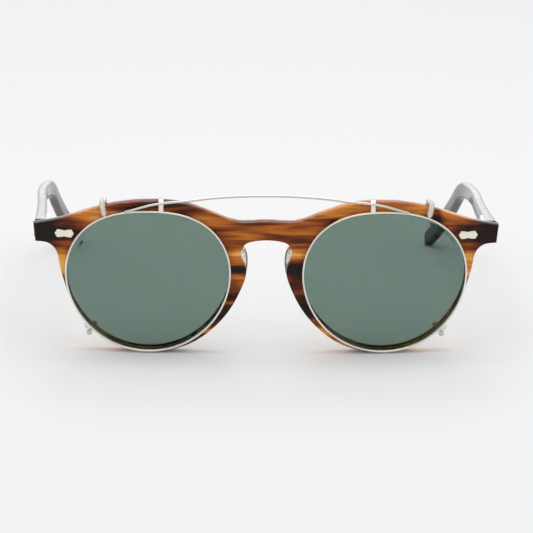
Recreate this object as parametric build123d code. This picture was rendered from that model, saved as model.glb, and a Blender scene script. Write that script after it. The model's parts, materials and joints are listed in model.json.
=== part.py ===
"""Round acetate spectacle frame with a sprung wire clip-on that carries the tinted lenses.

Modelled in millimetres. The frame front is drawn in its own upright plane: +X towards the wearer's
left, +Y from the front face to the temple tips, +Z up, with the origin on the centre line at the
height of the lens centres. The last step leans the finished assembly and moves it so that it stands
on the XY plane, with the origin in the middle of its footprint.
"""

import os
from math import asin, cos, degrees, radians, sin, sqrt

from build123d import *

# ---- driving dimensions, mm and degrees ----
HALF_FRONT = 71.2  # centre line to the outer corner of the end piece
LENS_X = 36.0  # centre line to the lens centre
BASE_RADIUS = 500.0  # curve of the front, about a vertical axis
FRONT_THICK = 4.4
TEMPLE_EDGE = 0.7  # chamfer along the temple's long edges
FRONT_LEAN = 2.0  # the standing front leans this far forward at the top
LENS_ROLL = -1.2  # the lens shape turns outer side down

DEMO_THICK, DEMO_DEPTH, DEMO_BITE = 1.8, 1.3, 0.7  # clear lens: thickness, face below the front, groove
SEAT_GAP = 0.03

CLIP_GAP = 0.4  # between the front face and the back of the clip at the lens centre
RIM_WIDE, RIM_DEEP, RIM_EDGE = 0.8, 1.6, 0.3
SUN_THICK, SUN_BITE = 1.2, 0.5
SPLIT_WIDE = 0.14

WIRE_R = 0.4  # bridge wire
PRONG_R = 0.45
SMALL_SLEEVE_R, LARGE_SLEEVE_R = 0.8, 1.0
HOOK_GAP = 0.35  # between a sleeve and the acetate it passes
HOOK_LEAN = 12.0

HINGE_X, HINGE_Z = 64.6, 13.7
HINGE_OFF = 1.95  # pivot behind the back of the end piece
BARREL_R, SCREW_R = 1.45, 0.6
KNUCKLES, KNUCKLE_TALL, KNUCKLE_GAP = 5, 1.0, 0.06
LEAF_TALL, LEAF_THICK, LEAF_SUNK = 4.4, 0.9, 0.5
PLAQUE_X, PLAQUE_LONG, PLAQUE_TALL, PLAQUE_PROUD = 61.7, 6.0, 2.6, 0.2
PLAQUE_Z = HINGE_Z + 0.25
PIN_R, PIN_PITCH = 0.5, 3.3
TEMPLE_FACE_X, TEMPLE_INNER_X = 71.0, 66.8  # outer and inner face of the temple at its hinge
TEMPLE_PLAQUE_BACK, TEMPLE_PIN_LONG = 4.6, 3.6
LEAF_FRONT, LEAF_BACK = -0.9, 8.4  # ends of the temple's leaf, from the pivot

TEMPLE_SLOPE = 8.0  # the side falls this far against the front's own horizontal
TEMPLE_STRAIGHT = 101.0  # from the end piece to the start of the ear bend
EAR_BEND, EAR_RADIUS, EAR_LONG = 34.0, 22.0, 29.5
BUTT_GAP = 0.08
CORE_TALL, CORE_THICK = 1.8, 1.0

WRAP = degrees(asin(LENS_X / BASE_RADIUS))


# ---- shared shapes ----
def front_depth(x, below=0.0):
    """Y of the curved surface that lies a given depth below the front face, at x."""
    return BASE_RADIUS - sqrt((BASE_RADIUS - below) ** 2 - x * x)


def curved_slab(near, far, half=90.0, tall=60.0):
    """The layer of space between two depths below the curved front face."""
    edges = []
    for depth in (near, far):
        ends = [(side * half, front_depth(half, depth)) for side in (-1, 1)]
        edges.append(ThreePointArc(ends[0], (0, front_depth(0, depth)), ends[1]))
    sides = [Line(edges[0] @ end, edges[1] @ end) for end in (0, 1)]
    return Pos(0, 0, -tall / 2) * extrude(make_face([*edges, *sides]), tall)


def lens_radius(angle):
    """Radius of the lens aperture: 0 degrees is the outer side, 90 the top and 180 the nose side."""
    a = radians(angle)
    return 23.2 + 0.67 * sin(a) + 1.44 * cos(2 * a) + 0.76 * sin(3 * a) - 0.2 * cos(4 * a)


def lens_point(angle, margin=0.0):
    """Point in the lens plane, from the lens centre, a margin outside the aperture."""
    r, a = lens_radius(angle) + margin, radians(angle + LENS_ROLL)
    return r * cos(a), r * sin(a)


def lens_plate(margin, near, far):
    """A plate of the aperture's shape between two depths."""
    points = [lens_point(angle, margin) for angle in range(0, 360, 15)]
    ring = Spline(*[(x, near, z) for x, z in points], periodic=True)
    return extrude(Face(Wire(ring)), far - near, dir=(0, 1, 0))


def rod(path, radius):
    """Round bar along a path."""
    return sweep(Plane(path @ 0, z_dir=path % 0) * Circle(radius), path=path)


def at_lens(shape):
    return Pos(LENS_X, 0, 0) * shape


def at_clip(shape):
    """Carries a shape from the clip's own lens plane, which touches the front face, into place."""
    return Pos(LENS_X, front_depth(LENS_X), 0) * Rot(0, 0, WRAP) * shape


# ---- acetate front, its pads and clear lenses ----
def rim_margin(angle):
    """Width of acetate outside the aperture, from the outer side down and round to the nose."""
    return 1.3 + 0.025 * max(0, angle - 95) + 0.05 * max(0, angle - 150)


def front_outline():
    """Closed outline of the front, mirrored about the centre line."""
    brow = [(0, 18.75), (9.4, 18.65), (13.6, 20.05), (18.5, 22.0), (24.5, 23.9), (33.0, 24.75),
            (43.0, 24.1), (54.0, 21.4), (62.0, 18.6), (HALF_FRONT, 16.6)]
    corner = (HALF_FRONT - 0.6, 11.0)
    notch = [(6.35, 4.4), (7.3, 6.4), (7.8, 9.0), (6.6, 11.4), (3.6, 12.5), (0, 12.8)]
    elbow = [(66.6, 10.5), (64.3, 8.4), (63.35, 4.6)]
    around = []
    for angle in range(5, 176, 17):
        x, z = lens_point(-angle, rim_margin(angle))
        around.append((LENS_X + x, z))
    top = Spline(*[(x, 0, z) for x, z in brow], tangents=[(1, 0, 0), (1, 0, -0.16)])
    end = Line(top @ 1, (corner[0], 0, corner[1]))
    lower = [corner, *elbow, *around, *notch]
    under = Spline(*[(x, 0, z) for x, z in lower], tangents=[(-1, 0, -0.04), (-1, 0, 0)])
    half = [top, end, under]
    return make_face(half + [mirror(edge, about=Plane.YZ) for edge in half])


def acetate_front():
    blank = Pos(0, -3, 0) * extrude(front_outline(), 20, dir=(0, 1, 0))
    blank = blank & curved_slab(0, FRONT_THICK)
    for hole in (at_lens(lens_plate(0, -3, 15)),
                 at_lens(lens_plate(DEMO_BITE, -3, 15)) & demo_layer(SEAT_GAP)):
        blank = blank - hole - mirror(hole, about=Plane.YZ)
    return blank


def demo_layer(gap=0.0):
    return curved_slab(DEMO_DEPTH - gap, DEMO_DEPTH + DEMO_THICK + gap)


def demo_lens():
    return at_lens(lens_plate(DEMO_BITE - SEAT_GAP, -3, 15)) & demo_layer()


def nose_pad():
    """Almond pad, glued to the back of the rim beside the nose and splayed to the rear."""
    pad = scale(Sphere(1), by=(2.3, 4.4, 7.0))
    pad = Pos(8.6, FRONT_THICK + 1.2, 3.0) * Rot(0, -10, -24) * pad
    return pad - curved_slab(-20, FRONT_THICK)


# ---- hinge, riveted through the end piece ----
PIVOT_Y = front_depth(HINGE_X, FRONT_THICK) + HINGE_OFF
HINGE_TURN = degrees(asin(PLAQUE_X / BASE_RADIUS))
HINGE_TALL = KNUCKLES * KNUCKLE_TALL


def at_hinge(shape):
    return Pos(HINGE_X, PIVOT_Y, HINGE_Z) * Rot(0, 0, HINGE_TURN) * shape


def block(x0, x1, y0, y1, z0, z1):
    return Pos((x0 + x1) / 2, (y0 + y1) / 2, (z0 + z1) / 2) * Box(x1 - x0, y1 - y0, z1 - z0)


def knuckles(first, web):
    """Every second knuckle of the barrel, each with the web that joins it to its leaf."""
    low, bore = -HINGE_TALL / 2, Cylinder(SCREW_R + SEAT_GAP, HINGE_TALL + 2)
    found = []
    for n in range(first, KNUCKLES, 2):
        z0, z1 = low + n * KNUCKLE_TALL, low + (n + 1) * KNUCKLE_TALL - KNUCKLE_GAP
        ring = Pos(0, 0, (z0 + z1) / 2) * Cylinder(BARREL_R, z1 - z0)
        found.append(ring + block(*web, z0, z1) - bore)
    return found


def front_leaf():
    low = -HINGE_OFF - LEAF_SUNK
    leaf = block(-7.4, 1.0, low, low + LEAF_THICK, -LEAF_TALL / 2, LEAF_TALL / 2)
    web = (-1.1, 0.9, low + LEAF_THICK / 2, 0)
    for knuckle in knuckles(0, web):
        leaf = leaf + knuckle
    return at_hinge(leaf)


def temple_leaf():
    """Leaf let into the inner face of the temple, with the two knuckles between the front's three."""
    face, half = TEMPLE_INNER_X - HINGE_X, LEAF_TALL / 2
    leaf = block(face - LEAF_THICK + LEAF_SUNK, face + LEAF_SUNK, LEAF_FRONT, LEAF_BACK, -half, half)
    for knuckle in knuckles(1, (0, face - 0.1, LEAF_FRONT, -LEAF_FRONT)):
        leaf = leaf + knuckle
    return Pos(HINGE_X, PIVOT_Y, HINGE_Z) * leaf


def temple_rivet():
    """Plaque on the outer face of the temple, its pins running in to the leaf."""
    spot = Pos(TEMPLE_FACE_X, PIVOT_Y + TEMPLE_PLAQUE_BACK, HINGE_Z) * Rot(0, 0, 91.8)
    return spot * Rot(0, -TEMPLE_SLOPE, 0) * plaque(TEMPLE_PIN_LONG)


def hinge_screw():
    """Slotted screw down the barrel, its head on the top knuckle."""
    tall, head_r, head_tall = HINGE_TALL, 1.2, 0.6
    head = Pos(0, 0, tall / 2 + head_tall / 2) * Cylinder(head_r, head_tall)
    head = head - Pos(0, 0, tall / 2 + head_tall) * Box(3, 0.3, 0.5)
    shank_low = -tall / 2 - 0.2
    shank = Pos(0, 0, (shank_low + tall / 2) / 2) * Cylinder(SCREW_R, tall / 2 - shank_low)
    return at_hinge(head + shank)


def plaque(pin_long):
    """Rivet plaque with flared ends and a waist, face at y = -PLAQUE_PROUD, pins running to +Y."""
    end_r, waist = PLAQUE_TALL / 2, PLAQUE_TALL * 0.78
    reach = PLAQUE_LONG / 2 - end_r
    lobe = Rot(90, 0, 0) * extrude(RegularPolygon(end_r, 6, major_radius=True), 0.3, both=True)
    plate = Box(2 * reach, 0.6, waist)
    for side in (-1, 1):
        plate = plate + Pos(side * reach, 0, 0) * lobe
    plate = Pos(0, 0.3 - PLAQUE_PROUD, 0) * plate
    for side in (-1, 1):
        pin = Rot(90, 0, 0) * Cylinder(PIN_R, pin_long)
        plate = plate + Pos(side * PIN_PITCH / 2, pin_long / 2, 0) * pin
    return plate


def front_rivet():
    spot = Pos(PLAQUE_X, front_depth(PLAQUE_X), PLAQUE_Z) * Rot(0, 0, HINGE_TURN)
    return spot * plaque(FRONT_THICK) - front_leaf()


# ---- temple ----
def temple_height(along):
    """Half height of the side at a distance along it."""
    stations = [(0, 3.05), (25, 2.75), (60, 2.4), (100, 2.4), (125, 2.7), (160, 2.9)]
    for (a, low), (b, high) in zip(stations, stations[1:]):
        if along <= b:
            return low + (high - low) * (along - a) / (b - a)
    return stations[-1][1]


def temple_spine():
    """Side view of the temple's middle line: a straight, the ear bend and a straight."""
    start = (front_depth(HINGE_X + 4, FRONT_THICK) - 2.0, HINGE_Z + 0.5)
    down = radians(TEMPLE_SLOPE)
    far = radians(TEMPLE_SLOPE + EAR_BEND)
    bend = (start[0] + TEMPLE_STRAIGHT * cos(down), start[1] - TEMPLE_STRAIGHT * sin(down))
    spine = []
    for share in (0, 0.25, 0.5, 0.75):
        along = share * TEMPLE_STRAIGHT
        spine.append((along, start[0] + along * cos(down), start[1] - along * sin(down), down))
    for share in (0, 0.25, 0.5, 0.75, 1):
        turn = down + share * (far - down)
        y = bend[0] + EAR_RADIUS * (sin(turn) - sin(down))
        z = bend[1] - EAR_RADIUS * (cos(down) - cos(turn))
        spine.append((TEMPLE_STRAIGHT + share * EAR_RADIUS * (far - down), y, z, turn))
    along, y, z, _ = spine[-1]
    for share in (0.5, 1):
        step = share * EAR_LONG
        spine.append((along + step, y + step * cos(far), z - step * sin(far), far))
    return spine


def temple_side(half_tall=None, trim=0.0):
    """Side silhouette of the temple, or of a bar inside it, as a wide solid."""
    upper, lower, spine = [], [], temple_spine()
    for along, y, z, down in spine:
        h = half_tall or temple_height(along)
        upper.append((0, y + h * sin(down), z + h * cos(down)))
        lower.append((0, y - h * sin(down), z - h * cos(down)))
    _, y, z, down = spine[-1]
    h = half_tall or temple_height(spine[-1][0])
    tip = (0, y + h * cos(down), z - h * sin(down))
    start_line = (0, cos(radians(TEMPLE_SLOPE)), -sin(radians(TEMPLE_SLOPE)))
    end_line = (0, cos(down), -sin(down))
    top = Spline(*upper, tangents=[start_line, end_line])
    bottom = Spline(*lower, tangents=[start_line, end_line])
    cap = ThreePointArc(top @ 1, tip, bottom @ 1)
    face = make_face([top, bottom, cap, Line(top @ 0, bottom @ 0)])
    return extrude(face, 90, dir=(1, 0, 0))


def temple_plan(inner, outer, long=162.0):
    """Plan of the temple between two offsets from its middle line, as a tall solid."""
    line = [(69.0, 0), (69.0, 15), (69.1, 30), (69.5, 70), (69.5, 97), (67.8, 112), (63.4, 130), (56.5, 146)]
    line.append((47.5, long))
    edges = []
    for far_side, widths in ((-1, inner), (1, outer)):
        points = []
        for x, y in line:
            share = min(1, max(0, (y - 10) / 20))
            points.append((x + far_side * (widths[0] + (widths[1] - widths[0]) * share), y))
        edges.append(Spline(*points))
    ends = [Line(edges[0] @ end, edges[1] @ end) for end in (0, 1)]
    return Pos(0, 0, -60) * extrude(make_face([*edges, *ends]), 100)


def temple_cut():
    """What lies in front of the butt joint between the temple and the end piece."""
    return curved_slab(-30, FRONT_THICK + BUTT_GAP, tall=80)


def temple_core():
    """Flat wire core down the middle of the temple."""
    bar = temple_side(CORE_TALL / 2) & temple_plan((CORE_THICK / 2,) * 2, (CORE_THICK / 2,) * 2)
    ends = curved_slab(-30, FRONT_THICK + 3, tall=80)
    return bar - ends


def temple_body():
    body = temple_side() & temple_plan((2.2, 1.5), (2.1, 1.5))
    body = body - temple_cut()
    return chamfer(body.edges().filter_by(lambda edge: edge.length > 50), TEMPLE_EDGE)


# ---- clip-on: rim, sun lens, closing block ----
RIM_FRONT, RIM_BACK = -CLIP_GAP - RIM_DEEP, -CLIP_GAP
RIM_MID = (RIM_FRONT + RIM_BACK) / 2
BLOCK_ANGLE, LOW_HOOK_ANGLE, HIGH_HOOK_ANGLE = -37.5, -42.0, 57.5
POST_X, POST_WIDE, POST_DEEP, POST_LOW, POST_TOP = 32.3, 1.6, 1.4, 22.1, 25.4
LIP_LONG, LIP_THICK = 1.4, 0.4


def sun_lens():
    half = SUN_THICK / 2
    lens = lens_plate(SUN_BITE - SEAT_GAP, RIM_MID - half, RIM_MID + half)
    return chamfer(lens.edges(), 0.25)


def radial(angle, shape, margin=0.0):
    """Puts a shape on the rim, its +X pointing outwards."""
    x, z = lens_point(angle, margin)
    return Pos(x, 0, z) * Rot(0, -(angle + LENS_ROLL), 0) * shape


def clip_rim():
    half = SUN_THICK / 2 + SEAT_GAP
    rim = fillet(lens_plate(RIM_WIDE, RIM_FRONT, RIM_BACK).edges(), RIM_EDGE)
    rim = rim - lens_plate(0, RIM_FRONT - 1, RIM_BACK + 1)
    rim = rim - lens_plate(SUN_BITE, RIM_MID - half, RIM_MID + half)
    split = radial(BLOCK_ANGLE, Pos(0, RIM_MID, 0) * Box(4, 4, SPLIT_WIDE))
    return rim - split


def closing_block():
    """Slotted block brazed over the split in the rim and drawn together by a screw."""
    half_long, wide, deep = 1.0, 1.2, 1.5
    body = block(0.7, 0.7 + wide, -deep / 2, deep / 2, -half_long, half_long)
    body = body - block(0.6, 0.4 + wide, -deep, deep, -SPLIT_WIDE / 2, SPLIT_WIDE / 2)
    return radial(BLOCK_ANGLE, Pos(0, RIM_MID, 0) * body)


def closing_screw():
    shank = Cylinder(0.25, 2.0)
    head = Pos(0, 0, 1.1) * Cylinder(0.4, 0.2) - Pos(0, 0, 1.2) * Box(2, 0.12, 0.2)
    return radial(BLOCK_ANGLE, Pos(1.32, RIM_MID, 0) * (shank + head))


# ---- clip-on: hooks and their sleeves, in the plane across the rim ----
def hook_and_sleeve(rise, back, tail, bend, sleeve_r, bare):
    """A wire prong and the soft tube over it, which leaves the first stretch bare.

    It runs from the rim outwards, back past the edge of the acetate and inwards behind it.
    """
    points = [(-RIM_WIDE / 2, RIM_MID, 0), (rise, RIM_MID, 0), (rise, back, 0), (rise - tail, back, 0)]
    path = FilletPolyline(*points, radius=bend)
    prong = rod(path, PRONG_R)
    covered = path.trim(bare / path.length, 1)
    tube = rod(covered, sleeve_r)
    tube = tube + Pos(*(covered @ 1)) * Sphere(sleeve_r)
    return prong, tube - prong


def high_hook():
    """Outer hook over the brow: prong and sleeve."""
    x, z = lens_point(HIGH_HOOK_ANGLE, RIM_WIDE)
    brow = 22.9
    back = FRONT_THICK + HOOK_GAP + LARGE_SLEEVE_R + 0.1
    rise = brow - z + HOOK_GAP + LARGE_SLEEVE_R
    pair = hook_and_sleeve(rise, back, 4.6, 1.5, LARGE_SLEEVE_R, 1.0)
    turn = Pos(x, 0, z) * Rot(0, HOOK_LEAN - 90, 0)
    return [turn * piece for piece in pair]


def wire_post():
    """Post that braces the bridge wire off the rim, with a lip over the top edge of the acetate."""
    left, right = POST_X - POST_WIDE / 2, POST_X + POST_WIDE / 2
    back = front_depth(POST_X) - CLIP_GAP
    post = block(left, right, back - POST_DEEP, back, POST_LOW, POST_TOP)
    return post + block(left, right, back - 0.1, back + LIP_LONG, POST_TOP - LIP_THICK, POST_TOP)


def low_hook():
    """Lower outer hook, under the rim of the acetate: prong and sleeve."""
    margin = rim_margin(-LOW_HOOK_ANGLE) - RIM_WIDE
    rise = margin + HOOK_GAP + SMALL_SLEEVE_R
    back = FRONT_THICK + HOOK_GAP + SMALL_SLEEVE_R + 0.2
    pair = hook_and_sleeve(rise, back, 2.8, 1.0, SMALL_SLEEVE_R, 1.0)
    return [radial(LOW_HOOK_ANGLE, piece, RIM_WIDE) for piece in pair]


def bridge_wire():
    """One springy wire in an upright plane, from the top of one rim over the nose to the other."""
    side = [(43.2, 21.9), (40.2, 22.75), (36.5, 23.8), (33.0, 24.5), (28.6, 25.0), (24.2, 25.4), (19.8, 26.0)]
    side.append((12.5, 26.7))
    y = front_depth(LENS_X) + RIM_FRONT + 0.25
    points = side + [(0, 27.1)] + [(-x, z) for x, z in reversed(side)]
    path = Spline(*[(x, y, z) for x, z in points])
    return rod(path, WIRE_R)


# ---- assembly ----
def left_frame_nodes():
    """The spectacle frame's own pieces on the wearer's left, by name."""
    core, leaf, rivet = temple_core(), temple_leaf(), temple_rivet()
    rivet = rivet - leaf
    return {
        "clear_lens": demo_lens(),
        "nose_pad": nose_pad(),
        "front_rivet": front_rivet(),
        "front_leaf": front_leaf(),
        "hinge_screw": hinge_screw(),
        "temple_leaf": leaf,
        "temple_rivet": rivet,
        "temple_core": core - rivet,
        "temple": temple_body() - core - leaf - rivet,
    }


def left_clip_nodes():
    """The clip-on's pieces on the wearer's left, by name."""
    rim, screw = clip_rim(), closing_screw()
    rim_inside = lens_plate(RIM_WIDE, RIM_FRONT, RIM_BACK)
    block_piece = closing_block() - rim - screw
    nodes = {"clip_rim": rim, "sun_lens": sun_lens(), "closing_block": block_piece, "closing_screw": screw}
    for name, pair in (("upper", high_hook()), ("lower", low_hook())):
        prong, sleeve = pair
        nodes[name + "_hook"] = prong - rim_inside
        nodes[name + "_sleeve"] = sleeve
    return {name: at_clip(shape) for name, shape in nodes.items()}


def main():
    os.makedirs("parts", exist_ok=True)
    left = {**left_frame_nodes(), **left_clip_nodes()}
    front = acetate_front()
    for name in ("front_leaf", "front_rivet"):
        front = front - left[name] - mirror(left[name], about=Plane.YZ)
    wire = bridge_wire()
    wire = wire - left["clip_rim"] - mirror(left["clip_rim"], about=Plane.YZ)
    left["wire_post"] = wire_post() - left["clip_rim"] - wire
    nodes = {"frame_front": front, "bridge_wire": wire}
    for name, shape in left.items():
        nodes[name + "_left"] = shape
        nodes[name + "_right"] = mirror(shape, about=Plane.YZ)
    leaned = {name: Rot(FRONT_LEAN, 0, 0) * shape for name, shape in nodes.items()}
    boxes = [shape.bounding_box() for shape in leaned.values()]
    front_y, back_y = min(box.min.Y for box in boxes), max(box.max.Y for box in boxes)
    place = Pos(0, -(front_y + back_y) / 2, -min(box.min.Z for box in boxes))
    for name, shape in leaned.items():
        export_step(place * shape, f"parts/{name}.step")


main()
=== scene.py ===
import bmesh
import bpy
import json
import numpy as np
from math import asin, atan2, cos, degrees, hypot, pi, radians, sin, sqrt
from mathutils import Matrix, Vector


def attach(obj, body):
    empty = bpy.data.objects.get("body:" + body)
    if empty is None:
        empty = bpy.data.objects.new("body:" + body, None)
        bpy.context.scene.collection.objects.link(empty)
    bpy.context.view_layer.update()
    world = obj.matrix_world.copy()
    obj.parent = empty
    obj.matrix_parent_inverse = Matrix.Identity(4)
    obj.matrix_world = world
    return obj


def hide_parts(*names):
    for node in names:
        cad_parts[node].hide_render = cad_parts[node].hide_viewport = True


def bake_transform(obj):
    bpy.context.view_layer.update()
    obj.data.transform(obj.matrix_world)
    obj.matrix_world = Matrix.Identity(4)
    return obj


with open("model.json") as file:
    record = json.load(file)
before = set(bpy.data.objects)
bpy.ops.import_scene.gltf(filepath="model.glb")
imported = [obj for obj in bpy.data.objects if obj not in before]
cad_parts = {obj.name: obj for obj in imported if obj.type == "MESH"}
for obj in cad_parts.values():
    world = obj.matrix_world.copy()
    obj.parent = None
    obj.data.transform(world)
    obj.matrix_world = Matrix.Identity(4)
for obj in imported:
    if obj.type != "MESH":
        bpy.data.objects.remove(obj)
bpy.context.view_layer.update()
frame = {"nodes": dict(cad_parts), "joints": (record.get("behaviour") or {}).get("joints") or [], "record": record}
nodes = frame["nodes"]

# Shapes are worked out in millimetres in the front's own upright plane, like the CAD: +X to the
# wearer's left, +Y backwards from the front face, +Z up from the height of the lens centres.
HALF_FRONT, LENS_X, BASE_RADIUS, FRONT_THICK = 71.2, 36.0, 500.0, 4.4
LENS_ROLL, CLIP_GAP, RIM_WIDE, RIM_DEEP = -1.2, 0.4, 0.8, 1.6
RIM_HALF, SUN_LENS_THICK = 0.3, 1.1
RIM_FRONT, RIM_MID = -CLIP_GAP - RIM_DEEP, -CLIP_GAP - RIM_DEEP / 2
HINGE_X, HINGE_Z = 64.6, 13.7
PIVOT_Y = BASE_RADIUS - sqrt((BASE_RADIUS - FRONT_THICK) ** 2 - HINGE_X ** 2) + 1.95
LEAN = Matrix.Rotation(radians(2), 4, "X")
fold = [joint for joint in frame["joints"] if joint["name"] == "temple_left_fold"][0]
PLACE = Vector(fold["pos_m"]) - LEAN @ (Vector((HINGE_X, PIVOT_Y, HINGE_Z)) / 1000)
WRAP = asin(LENS_X / BASE_RADIUS)
CLIP = {1: "clip_half_left", -1: "clip_half_right"}
TEMPLE = {1: "temple_left", -1: "temple_right"}
SIDE = {1: "_left", -1: "_right"}


# ---- materials ----
def material(name):
    """A new material, with its nodes, its links and its shader."""
    m = bpy.data.materials.new(name)
    m.use_nodes = True
    return m, m.node_tree.nodes, m.node_tree.links, m.node_tree.nodes["Principled BSDF"]


def add(nodes, kind, **inputs):
    """A shader node with some of its sockets set."""
    node = nodes.new("ShaderNode" + kind)
    for socket, value in inputs.items():
        node.inputs[socket].default_value = value
    return node


def polish(nodes, links, shader, tone, rough, depth):
    """Roughness between two values, and a faint unevenness of the given depth in millimetres."""
    sheen = add(nodes, "MapRange")
    sheen.inputs["From Min"].default_value, sheen.inputs["From Max"].default_value = 0.3, 0.7
    sheen.inputs["To Min"].default_value, sheen.inputs["To Max"].default_value = rough
    bump = add(nodes, "Bump", Strength=0.5, Distance=depth / 1000)
    links.new(tone, sheen.inputs["Value"])
    links.new(sheen.outputs["Result"], shader.inputs["Roughness"])
    links.new(tone, bump.inputs["Height"])
    links.new(bump.outputs["Normal"], shader.inputs["Normal"])


def plain(name, color, rough, grain, metal=0.0, through=0.0, ior=1.5):
    """One colour with a fine grain: (its scale, the share the colour varies by, its depth in mm)."""
    m, n, link, shader = material(name)
    scale, vary, depth = grain
    place = add(n, "TexCoord")
    noise = add(n, "TexNoise", Scale=scale, Detail=3.0, Roughness=0.6)
    ramp = add(n, "ValToRGB")
    link.new(place.outputs["Object"], noise.inputs["Vector"])
    link.new(noise.outputs["Fac"], ramp.inputs["Fac"])
    for element, at, share in zip(ramp.color_ramp.elements, (0.3, 0.7), (1 - vary, 1 + vary)):
        element.position = at
        element.color = (*[min(1, band * share) for band in color], 1)
    link.new(ramp.outputs["Color"], shader.inputs["Base Color"])
    polish(n, link, shader, noise.outputs["Fac"], rough, depth)
    shader.inputs["Metallic"].default_value = metal
    shader.inputs["Transmission Weight"].default_value = through
    shader.inputs["IOR"].default_value = ior
    return m


def acetate(name, stops, patches, streak, long, gloss):
    """Cast acetate: level streaks through amber and brown, darker or lighter in places, polished.

    stops are (tone, colour). A patch is (side, x, z, half width, half height, lift), in metres; side 0
    is both sides. streak is the grain's scale, long its stretch; gloss is (roughness, IOR)."""
    m, n, link, shader = material(name)

    def maths(operation, a, b=None):
        node = add(n, "Math")
        node.operation = operation
        for socket, value in zip(node.inputs, (a, b)):
            if hasattr(value, "is_output"):
                link.new(value, socket)
            elif value is not None:
                socket.default_value = value
        return node.outputs[0]

    place = add(n, "TexCoord")
    tones = []
    broad, fine = (streak, (long, long, 1.0), 1.0), (streak * 3.3, (long * 0.7, 0.5, 1.3), 0.3)
    for scale, stretch, share in (broad, fine):
        sized = add(n, "Mapping", Scale=stretch)
        noise = add(n, "TexNoise", Scale=scale, Detail=2.0, Distortion=0.6)
        link.new(place.outputs["Object"], sized.inputs["Vector"])
        link.new(sized.outputs["Vector"], noise.inputs["Vector"])
        tones.append(maths("MULTIPLY", maths("SUBTRACT", noise.outputs["Fac"], 0.5), share))
    contrast, middle = 1.9, 0.47
    tone = maths("ADD", maths("MULTIPLY", maths("ADD", tones[0], tones[1]), contrast), middle)
    axes = add(n, "SeparateXYZ")
    link.new(place.outputs["Object"], axes.inputs[0])
    either = maths("ABSOLUTE", axes.outputs["X"])
    for side, x, z, wide, tall, lift in patches:
        across = maths("SUBTRACT", axes.outputs["X"] if side else either, side * x if side else x)
        dx = maths("DIVIDE", across, wide)
        dz = maths("DIVIDE", maths("SUBTRACT", axes.outputs["Z"], z), tall)
        reach = maths("POWER", maths("ADD", maths("MULTIPLY", dx, dx), maths("MULTIPLY", dz, dz)), 2.0)
        tone = maths("ADD", tone, maths("DIVIDE", lift, maths("ADD", reach, 1.0)))
    ramp = add(n, "ValToRGB")
    while len(ramp.color_ramp.elements) < len(stops):
        ramp.color_ramp.elements.new(0.5)
    for element, (at, color) in zip(ramp.color_ramp.elements, stops):
        element.position = at
        element.color = (*color, 1)
    link.new(tone, ramp.inputs["Fac"])
    link.new(ramp.outputs["Color"], shader.inputs["Base Color"])
    ripple = add(n, "TexNoise", Scale=260.0, Detail=2.0)
    link.new(place.outputs["Object"], ripple.inputs["Vector"])
    polish(n, link, shader, ripple.outputs["Fac"], (gloss[0] - 0.03, gloss[0] + 0.03), 0.04)
    shader.inputs["IOR"].default_value = gloss[1]
    return m


TORTOISE = [(0.05, (0.012, 0.005, 0.004)), (0.26, (0.085, 0.014, 0.004)), (0.42, (0.23, 0.050, 0.008)),
            (0.60, (0.47, 0.135, 0.016)), (0.80, (0.68, 0.26, 0.042)), (0.98, (0.86, 0.45, 0.12))]
DARK = [(0.2, (0.010, 0.007, 0.007)), (0.6, (0.050, 0.030, 0.030)), (0.9, (0.10, 0.050, 0.035))]
PATCHES = [(-1, 0.0728, 0.0388, 0.0082, 0.0075, -0.85), (1, 0.0738, 0.0388, 0.0080, 0.0085, -0.85),
           (1, 0.0598, 0.0390, 0.0040, 0.0010, -0.50), (1, 0.0520, 0.0425, 0.0013, 0.0045, -0.40),
           (0, 0.0620, 0.0280, 0.0030, 0.0038, 0.42), (-1, 0.0585, 0.0385, 0.0045, 0.0030, -0.32),
           (1, 0.0585, 0.0405, 0.0040, 0.0030, 0.22), (-1, 0.0546, 0.0427, 0.0065, 0.0028, 0.26),
           (-1, 0.0403, 0.0470, 0.0110, 0.0025, -0.12), (-1, 0.0268, 0.0458, 0.0050, 0.0026, -0.20),
           (-1, 0.0195, 0.0438, 0.0040, 0.0020, 0.15), (1, 0.0450, 0.0462, 0.0130, 0.0035, 0.15),
           (1, 0.0190, 0.0430, 0.0090, 0.0030, -0.17), (0, 0.0150, 0.0415, 0.0050, 0.0020, 0.12),
           (1, 0.0100, 0.0345, 0.0045, 0.0022, -0.25), (0, 0.0050, 0.0385, 0.0060, 0.0015, 0.10),
           (0, 0.0083, 0.0302, 0.0040, 0.0020, 0.33), (-1, 0.0092, 0.0266, 0.0032, 0.0009, -1.1),
           (1, 0.0088, 0.0268, 0.0036, 0.0012, -1.2), (-1, 0.0096, 0.0240, 0.0028, 0.0013, 0.28),
           (1, 0.0095, 0.0232, 0.0030, 0.0034, -0.16), (0, 0.0125, 0.0170, 0.0070, 0.0060, -0.12),
           (1, 0.0140, 0.0105, 0.0045, 0.0035, -0.20), (0, 0.0470, 0.0070, 0.0160, 0.0090, 0.40)]
striped = acetate("striped_acetate", TORTOISE, PATCHES, 210, 0.13, (0.15, 1.26))
dark = acetate("dark_acetate", DARK, [], 200, 0.2, (0.14, 1.85))
pads = plain("clear_acetate", (0.98, 0.97, 0.94), (0.04, 0.10), (500, 0.02, 0.003), through=0.85, ior=1.3)
clear = plain("clear_lens", (0.99, 1.0, 0.99), (0.0, 0.01), (60, 0.003, 0.001), through=1.0, ior=1.05)
green = plain("green_lens", (0.176, 0.246, 0.212), (0.0, 0.01), (60, 0.012, 0.001), through=1.0, ior=1.08)
wire = plain("bright_wire", (0.84, 0.80, 0.74), (0.16, 0.26), (2500, 0.05, 0.001), metal=1.0)
# A darker copy of bright_wire for the bridge arch: painted shade, the same drawn wire with its colour dimmed.
arch = plain("arch_wire_painted_shade", (0.66, 0.64, 0.60), (0.18, 0.28), (2500, 0.05, 0.001), metal=1.0)
sleeve = plain("soft_sleeve", (0.92, 0.91, 0.89), (0.08, 0.16), (300, 0.02, 0.001), through=0.5, ior=1.42)
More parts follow.
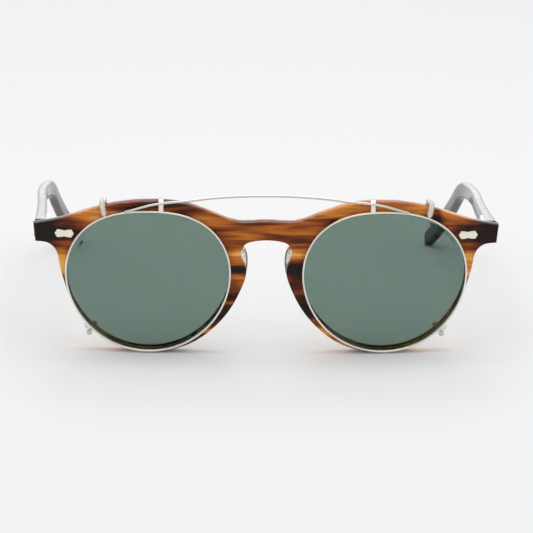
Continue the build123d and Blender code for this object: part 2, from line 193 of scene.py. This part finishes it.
steel = plain("hinge_steel", (0.88, 0.83, 0.70), (0.22, 0.32), (700, 0.03, 0.001), metal=1.0)
core = plain("core_wire", (0.6, 0.58, 0.54), (0.3, 0.42), (1800, 0.06, 0.002), metal=1.0)
FINISH = {"striped_acetate": striped, "dark_acetate": dark, "clear_acetate": pads, "clear_lens": clear,
          "green_lens": green, "bright_wire": wire, "soft_sleeve": sleeve, "hinge_steel": steel,
          "core_wire": core}
for part in frame["record"]["subparts"]:
    node = nodes[part["node"]]
    node.data.materials.clear()
    node.data.materials.append(FINISH[part["material_slot"]])


# ---- shared shapes ----
def front_depth(x, below=0.0):
    """Y of the curved surface that lies a given depth below the front face, at x."""
    return BASE_RADIUS - sqrt((BASE_RADIUS - below) ** 2 - x * x)


def lens_radius(angle):
    """Lens outline as a radius from its centre: rounder below, flatter above."""
    a = radians(angle)
    return 23.2 + 0.67 * sin(a) + 1.44 * cos(2 * a) + 0.76 * sin(3 * a) - 0.2 * cos(4 * a)


def lens_point(angle, margin=0.0):
    """Point in the lens plane, from the lens centre: 0 degrees is the outer side, 90 the top."""
    r, a = lens_radius(angle) + margin, radians(angle + LENS_ROLL)
    return r * cos(a), r * sin(a)


def rim_margin(angle):
    """Width of the acetate outside the lens, this many degrees below the level line."""
    return 1.3 + 0.025 * max(0, angle - 95) + 0.05 * max(0, angle - 150)


def at_clip(point):
    """From the clip's own lens plane into the front's plane."""
    x, y, z = point
    return (LENS_X + x * cos(WRAP) - y * sin(WRAP), front_depth(LENS_X) + x * sin(WRAP) + y * cos(WRAP), z)


def curve_through(points, start=None, end=None):
    """Smooth curve through points: returns a function of length along, and the points' own lengths."""
    p = np.array(points, float)
    h = np.linalg.norm(np.diff(p, axis=0), axis=1)
    s = np.concatenate([[0], np.cumsum(h)])
    n = len(p)
    a, b = np.zeros((n, n)), np.zeros_like(p)
    for i in range(1, n - 1):
        a[i, i - 1], a[i, i], a[i, i + 1] = h[i], 2 * (h[i - 1] + h[i]), h[i - 1]
        b[i] = 3 * (h[i] * (p[i] - p[i - 1]) / h[i - 1] + h[i - 1] * (p[i + 1] - p[i]) / h[i])
    for i, j, step, given in ((0, 1, h[0], start), (n - 1, n - 2, h[-1], end)):
        if given is None:
            a[i, i], a[i, j], b[i] = 2, 1, 3 * (p[max(i, j)] - p[min(i, j)]) / step
        else:
            a[i, i], b[i] = 1, np.array(given) / np.linalg.norm(given)
    m = np.linalg.solve(a, b)

    def at(length):
        i = min(max(int(np.searchsorted(s, length)) - 1, 0), n - 2)
        t = (length - s[i]) / h[i]
        return ((2 * t ** 3 - 3 * t * t + 1) * p[i] + (t ** 3 - 2 * t * t + t) * h[i] * m[i]
                + (3 * t * t - 2 * t ** 3) * p[i + 1] + (t ** 3 - t * t) * h[i] * m[i + 1])
    return at, s


def spread(low, high, count):
    """Values at even steps from low to high, both included."""
    return [low + (high - low) * k / count for k in range(count + 1)]


def rounded(points, radius, steps=8):
    """A path of straights with an arc of the given radius at each inner corner."""
    p = [Vector(q) for q in points]
    path = [p[0]]
    for before, corner, after in zip(p, p[1:], p[2:]):
        u, v = (before - corner).normalized(), (after - corner).normalized()
        half = u.angle(v) / 2
        reach, middle = radius / np.tan(half), corner + (u + v).normalized() * (radius / sin(half))
        first, last = corner + u * reach - middle, corner + v * reach - middle
        turn = first.angle(last)
        for k in range(steps + 1):
            t = k / steps
            path.append(middle + (first * sin((1 - t) * turn) + last * sin(t * turn)) / sin(turn))
    return path + [p[-1]]


SHARP = radians(50)
DOME = (0.4, 0.8, 1.15, 1.45)  # how far round a bead-shaped end its rings lie, in radians


def piece(name, rows, finish, body, replaced):
    """One smooth closed mesh from rings of points, in place on its CAD body."""
    work = bmesh.new()
    grid = [[work.verts.new(PLACE + LEAN @ (Vector(q) / 1000)) for q in row] for row in rows]
    for row, following in zip(grid, grid[1:]):
        for j, v in enumerate(row):
            k = (j + 1) % len(row)
            work.faces.new((v, row[k], following[k], following[j]))
    work.faces.new(grid[0])
    work.faces.new(grid[-1])
    return finish_mesh(name, work, finish, body, replaced)


def finish_mesh(name, work, finish, body, replaced):
    """Closes a mesh, smooth but for its sharp edges, and gives it its finish and its CAD body."""
    mesh = bpy.data.meshes.new(name)
    bmesh.ops.remove_doubles(work, verts=work.verts, dist=2e-7)
    bmesh.ops.recalc_face_normals(work, faces=work.faces)
    for face in work.faces:
        face.smooth = True
    for edge in work.edges:
        if len(edge.link_faces) == 2 and edge.calc_face_angle(0) > SHARP:
            edge.smooth = False
    work.to_mesh(mesh)
    work.free()
    thing = bpy.data.objects.new(name, mesh)
    bpy.context.scene.collection.objects.link(thing)
    mesh.materials.append(FINISH[finish])
    if body:
        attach(thing, body)
    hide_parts(*replaced)
    return thing


def mirrored(rows, side):
    """Rings drawn for the wearer's left, on the given side: 1 is left, -1 right."""
    return [[(side * x, y, z) for x, y, z in row] for row in rows]


def tube_rows(path, radius, around=16, round_start=False):
    """Rings along a path, which closes in like a bead at its end, and at its start where asked."""
    path = [Vector(q) for q in path]
    stations = [(q, radius) for q in path]
    for at, beside in ((0, 1), (-1, -2)) if round_start else ((-1, -2),):
        out = (path[at] - path[beside]).normalized()
        dome = [(path[at] + out * radius * sin(a), radius * cos(a)) for a in DOME]
        stations = dome[::-1] + stations if at == 0 else stations + dome
    rows, side = [], None
    for k, (q, r) in enumerate(stations):
        near, far = stations[max(k - 1, 0)][0], stations[min(k + 1, len(stations) - 1)][0]
        along = (far - near).normalized()
        if side is None:
            side = along.orthogonal().normalized()
        side = (side - along * side.dot(along)).normalized()
        other = along.cross(side)
        ring = [2 * pi * j / around for j in range(around)]
        rows.append([tuple(q + side * r * cos(a) + other * r * sin(a)) for a in ring])
    return rows


def rounded_box_ring(half_wide, half_tall, edge, steps=4):
    """Outline of a bar's section with rounded corners, as (across, up) pairs."""
    ring = []
    for quarter, (sx, sy) in enumerate(((1, 1), (-1, 1), (-1, -1), (1, -1))):
        for k in range(steps + 1):
            a = pi / 2 * (quarter + k / steps)
            ring.append((sx * (half_wide - edge) + edge * cos(a), sy * (half_tall - edge) + edge * sin(a)))
    return ring


# ---- acetate front ----
END_TOP, END_DRAFT = 16.6, 0.107  # the end face: its top, and how far it leans in per millimetre down
BROW = [(0, 18.75), (9.4, 18.65), (13.6, 20.05), (18.5, 22.0), (24.5, 23.9), (33.0, 24.75),
        (43.0, 24.1), (54.0, 21.4), (62.0, 18.6), (HALF_FRONT, END_TOP)]
ELBOW = [(HALF_FRONT - 0.6, 11.0), (66.6, 10.5), (64.3, 8.4), (63.35, 4.6)]
NOTCH = [(6.35, 4.4), (7.3, 6.4), (7.8, 9.0), (6.6, 11.4), (3.6, 12.5), (0, 12.8)]
AROUND = [(LENS_X + x, z) for x, z in (lens_point(-a, rim_margin(a)) for a in range(5, 176, 17))]
brow, brow_at = curve_through(BROW, (1, 0), (1, -0.16))
under, under_at = curve_through(ELBOW + AROUND + NOTCH, (-1, -0.04), (-1, 0))
EDGE, HOLE_EDGE, GROOVE = 0.75, 0.25, 0.7
GROOVE_SIDES = 1.27, 3.13  # depths of the lens groove's two sides behind the front face


def acetate_front():
    """The whole front as one mesh: flat patches between the outline and the apertures, both faces
    rounded off towards every edge, with the lens groove in each aperture's wall."""
    close = [0, 0.01, 0.03, 0.06, 0.1, 0.16]
    across = close + spread(0.24, 0.76, 6) + [1 - t for t in close[::-1]]
    # The patch round the lens ends at these points of the two outlines.
    elbow_end, notch_end, brow_out, brow_in = under_at[2], under_at[-3], brow_at[8], brow_at[1]
    outer = [np.array(under(elbow_end)) * (1 - t) + np.array(brow(brow_out)) * t for t in across]
    outer += [brow(s) for s in spread(brow_out, brow_in, 72)[1:]]
    neck = [np.array(brow(brow_in)) * (1 - t) + np.array(under(notch_end)) * t for t in across]
    outer += neck[1:] + [under(s) for s in spread(notch_end, elbow_end, 150)[1:-1]]
    edge = [brow(s) for s in spread(0, brow_at[-1], 300)] + [under(s) for s in spread(0, under_at[-1], 600)]
    edge = np.array(edge)
    patches = []
    rings = []
    for x, z in outer:
        angle = degrees(atan2(z, x - LENS_X)) - LENS_ROLL
        ix, iz = lens_point(angle)
        inner, far = np.array((LENS_X + ix, iz)), np.array((x, z))
        span = np.linalg.norm(far - inner)
        near = [min(d, 0.4 * span * d / 0.5) for d in (0, 0.04, 0.12, 0.22, 0.35, 0.5)]
        late = [min(d, 0.5 * span * d / 0.8) for d in (0.8, 0.55, 0.38, 0.24, 0.12, 0.04, 0)]
        steps = near + spread(near[-1], span - late[0], 4)[1:-1] + [span - d for d in late]
        rings.append([tuple(inner + (far - inner) * d / span) for d in steps])
    patches.append((rings, True))
    lines = []
    for k in range(13):
        t = k / 12
        top, low = brow(brow_in * (1 - t)), under(notch_end + (under_at[-1] - notch_end) * t)
        lines.append([tuple(top * (1 - u) + low * u) for u in across])
    patches.append((lines, False))
    lines = []
    for t in spread(0, 0.86, 9) + [0.9, 0.93, 0.955, 0.975, 0.99, 1]:
        top, low = brow(brow_out + (brow_at[-1] - brow_out) * t), under(elbow_end * (1 - t))
        lines.append([tuple(low * (1 - u) + top * u) for u in across])
    patches.append((lines, False))

    work = bmesh.new()
    for lines, closed in patches:
        for sign in (1, -1):
            grid = [[work.verts.new((sign * x, 0, z)) for x, z in line] for line in lines]
            for i in range(len(grid) if closed else len(grid) - 1):
                a, b = grid[i], grid[(i + 1) % len(grid)]
                for j in range(len(a) - 1):
                    work.faces.new((a[j], a[j + 1], b[j + 1], b[j]))
    bmesh.ops.remove_doubles(work, verts=work.verts, dist=0.004)
    bmesh.ops.recalc_face_normals(work, faces=work.faces)
    flat = list(work.faces)
    where, hole, step = {}, {}, {}
    for v in work.verts:
        x, z = abs(v.co.x), v.co.z
        reach = np.sqrt(((edge - (x, z)) ** 2).sum(1).min())
        reach = min(reach, max(0, (HALF_FRONT - x - END_DRAFT * (END_TOP - z))))
        if any(len(e.link_faces) == 1 for e in v.link_edges):
            reach = 0
        inner = hypot(x - LENS_X, z) - lens_radius(degrees(atan2(z, x - LENS_X)) - LENS_ROLL)
        hole[v] = inner < 0.02
        drop = 0
        if reach < EDGE:
            drop += EDGE - sqrt(EDGE ** 2 - (EDGE - reach) ** 2)
        if inner < HOLE_EDGE:
            drop += HOLE_EDGE - sqrt(max(0, HOLE_EDGE ** 2 - (HOLE_EDGE - max(inner, 0)) ** 2))
        where[v], step[v] = (v.co.x, v.co.z), min(drop, EDGE)
    rims = [e for e in work.edges if len(e.link_faces) == 1]
    solid = bmesh.new()

    def lifted(v, depth, out=0.0):
        """A vertex at a depth behind the front face, moved out from the lens centre where asked."""
        x, z = where[v]
        if out:
            side = 1 if x > 0 else -1
            away = Vector((x - side * LENS_X, z)).normalized() * out
            x, z = x + away.x, z + away.y
        return solid.verts.new(PLACE + LEAN @ (Vector((x, front_depth(x, depth), z)) / 1000))

    top = {v: lifted(v, step[v]) for v in work.verts}
    low = {v: lifted(v, FRONT_THICK - step[v]) for v in work.verts}
    for face in flat:
        solid.faces.new([top[v] for v in face.verts])
        solid.faces.new([low[v] for v in face.verts][::-1])
    walls = {}
    for e in rims:
        for v in e.verts:
            if v not in walls:
                steps = [(FRONT_THICK / 2, 0)] * 4
                if hole[v]:
                    near, far = GROOVE_SIDES
                    steps = [(near, 0), (near, GROOVE), (far, GROOVE), (far, 0)]
                walls[v] = [top[v]] + [lifted(v, d, out) for d, out in steps] + [low[v]]
        a, b = walls[e.verts[0]], walls[e.verts[1]]
        for k in range(5):
            if (a[k].co - a[k + 1].co).length > 1e-7:
                solid.faces.new((a[k], a[k + 1], b[k + 1], b[k]))
    work.free()
    finish_mesh("acetate_front", solid, "striped_acetate", "frame", ["frame_front"])


# ---- temples ----
SLOPE, STRAIGHT, BEND, BEND_RADIUS, EAR = radians(8), 101.0, radians(34), 22.0, 29.5
TEMPLE_START, TIP_R = 2.2, 2.85
FROM_ABOVE = [(0, 69.0), (15, 69.0), (30, 69.1), (70, 69.5), (97, 69.5), (112, 67.8), (130, 63.4),
              (146, 56.5), (162, 47.5)]  # the middle line, as (y, x)
HALF_TALL = [(0, 25, 60, 100, 125, 160), (3.05, 2.75, 2.4, 2.4, 2.7, 2.9)]  # by distance along it
HALF_WIDE = [(14, 25, 60, 160), (2.05, 1.7, 1.5, 1.5)]  # by y


def temple_station(along):
    """Side view of the temple's middle line: y, z and the way down at a distance along it."""
    y, z = front_depth(HINGE_X + 4, FRONT_THICK) - 2.0, HINGE_Z + 0.5
    straight = min(along, STRAIGHT)
    y, z = y + straight * cos(SLOPE), z - straight * sin(SLOPE)
    turn = SLOPE + min(max(along - STRAIGHT, 0) / BEND_RADIUS, BEND)
    y, z = y + BEND_RADIUS * (sin(turn) - sin(SLOPE)), z - BEND_RADIUS * (cos(SLOPE) - cos(turn))
    rest = max(0, along - STRAIGHT - BEND_RADIUS * BEND)
    return y + rest * cos(turn), z - rest * sin(turn), turn


def temple(side):
    """Temple with its ear hook, from the butt behind the front to the rounded tip."""
    line, _ = curve_through(FROM_ABOVE)
    long = STRAIGHT + BEND_RADIUS * BEND + EAR
    rows = []
    stations = [(s, 1) for s in spread(TEMPLE_START, long, 110)]
    stations += [(long + TIP_R * sin(a), cos(a)) for a in (0.3, 0.6, 0.85, 1.1, 1.3, 1.45)]
    for along, shrink in stations:
        y, z, turn = temple_station(along)
        length = y
        for _ in range(12):  # closes in on the length at which the line is y back
            length += y - line(length)[0]
        x = line(length)[1]
        half_wide = np.interp(y, *HALF_WIDE) * (0.35 + 0.65 * shrink)
        half_tall = np.interp(along, *HALF_TALL) * shrink
        edge = min(0.95, half_wide * 0.9, half_tall * 0.9)
        row = []
        for across, up in rounded_box_ring(half_wide, half_tall, edge):
            px, py, pz = x + across, y + up * sin(turn), z + up * cos(turn)
            wall = front_depth(px, FRONT_THICK) + 0.1
            row.append((px, max(py, wall) if along < 4 else py, pz))
        rows.append(row)
    hand = SIDE[side]
    piece("acetate_temple" + hand, mirrored(rows, side), "dark_acetate", TEMPLE[side], ["temple" + hand])


# ---- lenses and rims ----
def plate_rows(margin, faces, plane, edge=0.25, count=180):
    """A lens as rings from the middle of its front face round the edge to the middle of its back."""
    near, far = faces
    section = [(0.02, near), (0.35, near), (0.7, near), (0.93, near), (-edge, near), (0, near + edge),
               (0, far - edge), (-edge, far), (0.93, far), (0.7, far), (0.35, far), (0.02, far)]
    rows = []
    for share, depth in section:
        row = []
        for k in range(count):
            angle = 360 * k / count
            x, z = lens_point(angle, margin + share if share <= 0 else margin)
            if share > 0:
                x, z = x * share, z * share
            row.append(plane(x, depth, z))
        rows.append(row)
    return rows


def clear_lens(side):
    """Demo lens, held in the groove of the acetate."""
    def in_front(x, depth, z):
        return LENS_X + x, front_depth(LENS_X + x, depth), z

    hand = SIDE[side]
    near, far = GROOVE_SIDES
    rows = plate_rows(GROOVE - 0.05, (near + 0.05, far - 0.05), in_front)
    piece("clear_lens_shaped" + hand, mirrored(rows, side), "clear_lens", "frame", ["clear_lens" + hand])


def sun_lens(side):
    """Tinted lens, held in the clip's rim."""
    hand, half = SIDE[side], SUN_LENS_THICK / 2
    rows = plate_rows(0.45, (RIM_MID - half, RIM_MID + half), lambda x, depth, z: at_clip((x, depth, z)))
    piece("sun_lens_shaped" + hand, mirrored(rows, side), "green_lens", CLIP[side], ["sun_lens" + hand])


SPLIT_ANGLE = 0.17  # half of the rim's gap at the closing block, in degrees
BLOCK_ANGLE, LOW_HOOK_ANGLE, HIGH_HOOK_ANGLE = -37.5, -42.0, 57.5


def clip_rim(side):
    """Rim of drawn eyewire, split at the closing block."""
    half = RIM_DEEP / 2
    section = [(RIM_WIDE - RIM_HALF + a, b) for a, b in rounded_box_ring(RIM_HALF, half, 0.28, 6)]
    rows = []
    for k in range(241):
        angle = BLOCK_ANGLE + SPLIT_ANGLE + (360 - 2 * SPLIT_ANGLE) * k / 240
        row = []
        for out, deep in section:
            x, z = lens_point(angle, out)
            row.append(at_clip((x, RIM_MID + deep, z)))
        rows.append(row)
    hand = SIDE[side]
    piece("clip_rim_shaped" + hand, mirrored(rows, side), "bright_wire", CLIP[side], ["clip_rim" + hand])


# ---- hooks, sleeves and the bridge wire ----
PRONG_R, ARCH_R = 0.45, 0.36
BROW_AT_HOOK, HOOK_LEAN = 22.9, 12


def trimmed(path, start):
    """The path without its first stretch."""
    path = [Vector(q) for q in path]
    for k in range(1, len(path)):
        step = (path[k] - path[k - 1]).length
        if step > start:
            return [path[k - 1].lerp(path[k], start / step)] + path[k:]
        start -= step
    return path


def hook(name, side, origin, turn, rise, back, tail, bend, sleeve_r, bare):
    """Prong from the rim, back over the edge of the acetate and in behind it, with its soft tube.

    It rises by rise away from the lens, runs back to the depth back and comes in by tail; bare is the
    length before the tube."""
    ox, oz = origin
    flat = rounded([(-0.2, RIM_MID, 0), (rise, RIM_MID, 0), (rise, back, 0), (rise - tail, back, 0)], bend)
    path = [at_clip((ox + q.x * cos(turn), q.y, oz + q.x * sin(turn))) for q in flat]
    hand, body = SIDE[side], CLIP[side]
    rows = tube_rows(path, PRONG_R)
    piece(name + "_prong" + hand, mirrored(rows, side), "bright_wire", body, [name + "_hook" + hand])
    rows = tube_rows(trimmed(path, bare), sleeve_r, 20, round_start=True)
    piece(name + "_tube" + hand, mirrored(rows, side), "soft_sleeve", body, [name + "_sleeve" + hand])


def hooks(side):
    """The upper hook goes over the brow, the lower one round the outside of the acetate."""
    x, z = lens_point(HIGH_HOOK_ANGLE, RIM_WIDE)
    rise, turn = BROW_AT_HOOK - z + 1.35, radians(90 - HOOK_LEAN)
    hook("upper", side, (x, z), turn, rise, back=FRONT_THICK + 1.45, tail=4.6, bend=1.5,
         sleeve_r=0.85, bare=1.1)
    x, z = lens_point(LOW_HOOK_ANGLE, RIM_WIDE)
    rise, turn = rim_margin(-LOW_HOOK_ANGLE) - RIM_WIDE + 1.15, radians(LOW_HOOK_ANGLE + LENS_ROLL)
    hook("lower", side, (x, z), turn, rise, back=FRONT_THICK + 1.35, tail=1.9, bend=1.0,
         sleeve_r=0.8, bare=1.5)


WIRE = [(43.2, 21.9), (40.2, 22.75), (36.5, 23.8), (33.0, 24.5), (28.6, 25.0), (24.2, 25.4), (19.8, 26.0),
        (12.5, 26.7), (0, 27.1)]


def bridge_wire():
    """The arch in two halves, each bending from the middle of the clip to its own lens."""
    line, line_at = curve_through([(-x, z) for x, z in WIRE], end=(1, 0))
    y = front_depth(LENS_X) + RIM_FRONT + 0.25
    for side in (1, -1):
        path = [(-line(s)[0], y, line(s)[1]) for s in spread(0, line_at[-1], 90)][::-1]
        rows = mirrored(tube_rows(path, ARCH_R), side)
        half = piece("wire_arch" + SIDE[side], rows, "bright_wire", None, ["bridge_wire"])
        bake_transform(half)
        # The arch takes the darker wire copy, whose base colour carries painted shade.
        half.data.materials[0] = arch


# ---- nose pads and rivet plaques ----
PLAQUE_X = 61.7
PAD_FLARE, PAD_SPLAY, PAD_HALF = 10, 24, (2.3, 4.4, 7.0)


def nose_pad(side):
    """Splayed oval pad that runs into the back of the acetate."""
    turn = Matrix.Rotation(radians(-PAD_FLARE), 3, "Y") @ Matrix.Rotation(radians(-PAD_SPLAY), 3, "Z")
    wide, deep, tall = PAD_HALF
    centre, rows = Vector((8.6, FRONT_THICK + 1.2, 3.0)), []
    for k in range(1, 32):
        a = pi * k / 32
        row = []
        for j in range(40):
            b = 2 * pi * j / 40
            q = centre + turn @ Vector((wide * sin(a) * cos(b), deep * sin(a) * sin(b), -tall * cos(a)))
            row.append((q.x, max(q.y, front_depth(q.x, FRONT_THICK - 0.3)), q.z))
        rows.append(row)
    hand = SIDE[side]
    piece("nose_pad_shaped" + hand, mirrored(rows, side), "clear_acetate", "frame", ["nose_pad" + hand])


def plaque(name, side, place, body, replaced):
    """Rivet plaque: flared ends, a waist and a softened edge. place maps (along, out, up) to the front."""
    quarter = [(3.0, 0), (2.25, 1.25), (1.25, 1.22), (0, 0.97)]
    corners = quarter + [(-a, u) for a, u in quarter[-2::-1]] + [(-a, -u) for a, u in quarter[1:]]
    corners += [(a, -u) for a, u in quarter[-2:0:-1]]
    loop = [Vector((along, 0, up)) for along, up in corners]
    start = (loop[-1] + loop[0]) / 2
    outline = [(q.x, q.z) for q in rounded([start, *loop, start], 0.2, 3)[1:]]
    rows = [[place(u * k, out, v * k) for u, v in outline]
            for out, k in ((-0.15, 1), (0.08, 1), (0.16, 0.985), (0.2, 0.94), (0.21, 0.6), (0.215, 0.2))]
    piece(name + SIDE[side], mirrored(rows, side), "hinge_steel", body, replaced)


def front_plaque(side):
    """Plaque on the front's outer corner, turned to follow its curve."""
    turn = asin(PLAQUE_X / BASE_RADIUS)

    def on_front(along, out, up):
        return (PLAQUE_X + along * cos(turn) + out * sin(turn),
                front_depth(PLAQUE_X) + along * sin(turn) - out * cos(turn), HINGE_Z + 0.25 + up)

    plaque("front_plaque", side, on_front, "frame", ["front_rivet" + SIDE[side]])


POST_X, POST_ENDS = 32.3, (22.1, 25.2)


def wire_post(side):
    """Post from the rim to the wire, with a lip over the top of the acetate."""
    x, back = POST_X, front_depth(POST_X) - CLIP_GAP
    low, top = POST_ENDS
    spine = rounded([(x, back - 0.7, low), (x, back - 0.7, top), (x, back + 1.4, top)], 0.5, 6)
    rows = []
    for k, q in enumerate(spine):
        near, far = spine[max(k - 1, 0)], spine[min(k + 1, len(spine) - 1)]
        along = (far - near).normalized()
        up = Vector((1, 0, 0)).cross(along)
        thick = 0.5 if k < 2 else 0.5 - 0.3 * min(1, (k - 2) / 4)
        ring = rounded_box_ring(0.75, thick, 0.18, 3)
        rows.append([tuple(q + Vector((a, 0, 0)) + up * b) for a, b in ring])
    hand = SIDE[side]
    piece("wire_post_shaped" + hand, mirrored(rows, side), "bright_wire", CLIP[side], ["wire_post" + hand])


acetate_front()
bridge_wire()
for side in (1, -1):
    temple(side)
    clear_lens(side)
    sun_lens(side)
    clip_rim(side)
    hooks(side)
    nose_pad(side)
    front_plaque(side)
    wire_post(side)


# ---- floor, light and camera ----
def floor():
    """Plain pale floor, well past the picture's edges."""
    bpy.ops.mesh.primitive_plane_add(size=8, location=(0, 2, 0))
    ground = bpy.context.object
    ground.name = "floor"
    ground.data.materials.append(plain("floor_paint", (0.86, 0.86, 0.86), (0.85, 0.95), (30, 0.004, 0.05)))


def softbox(name, at, aim, wide, tall, power):
    """Soft light of the given size in metres and power in watts."""
    lamp = bpy.data.lights.new(name, "AREA")
    lamp.shape = "RECTANGLE"
    lamp.size, lamp.size_y, lamp.energy = wide, tall, power
    box = bpy.data.objects.new(name, lamp)
    bpy.context.scene.collection.objects.link(box)
    box.location = at
    box.rotation_euler = (Vector(aim) - Vector(at)).to_track_quat("-Z", "Y").to_euler()


floor()
softbox("softbox_top", (0, -0.02, 0.7), (0, 0, 0), 0.5, 0.5, 1.15)
softbox("softbox_behind", (0, 2.5, 1.75), (0, 0, 0.04), 1.1, 0.9, 9)
softbox("softbox_low", (0, 2.2, 0.3), (0, 0, 0.2), 2.2, 0.55, 4)
world = bpy.data.worlds.new("room")
world.use_nodes = True
world.node_tree.nodes["Background"].inputs["Color"].default_value = (1, 1, 1, 1)
world.node_tree.nodes["Background"].inputs["Strength"].default_value = 0.81
bpy.context.scene.world = world

ELEVATION, YAW, ROLL, DISTANCE = 14.0, 1.75, 0.65, 1.5
camera = bpy.data.cameras.new("camera")
camera.sensor_width, camera.lens = 36, 332
eye = bpy.data.objects.new("camera", camera)
bpy.context.scene.collection.objects.link(eye)
level = Vector((0, -cos(radians(ELEVATION)), sin(radians(ELEVATION))))
back = Matrix.Rotation(radians(-YAW), 3, "Z") @ level
target = PLACE + Vector((0, -0.0004, 0.0048))
eye.location = target + back * DISTANCE
aim = (-back).to_track_quat("-Z", "Y").to_matrix() @ Matrix.Rotation(radians(ROLL), 3, "Z")
eye.rotation_euler = aim.to_euler()
bpy.context.scene.camera = eye
bpy.context.scene.view_settings.view_transform = "Standard"
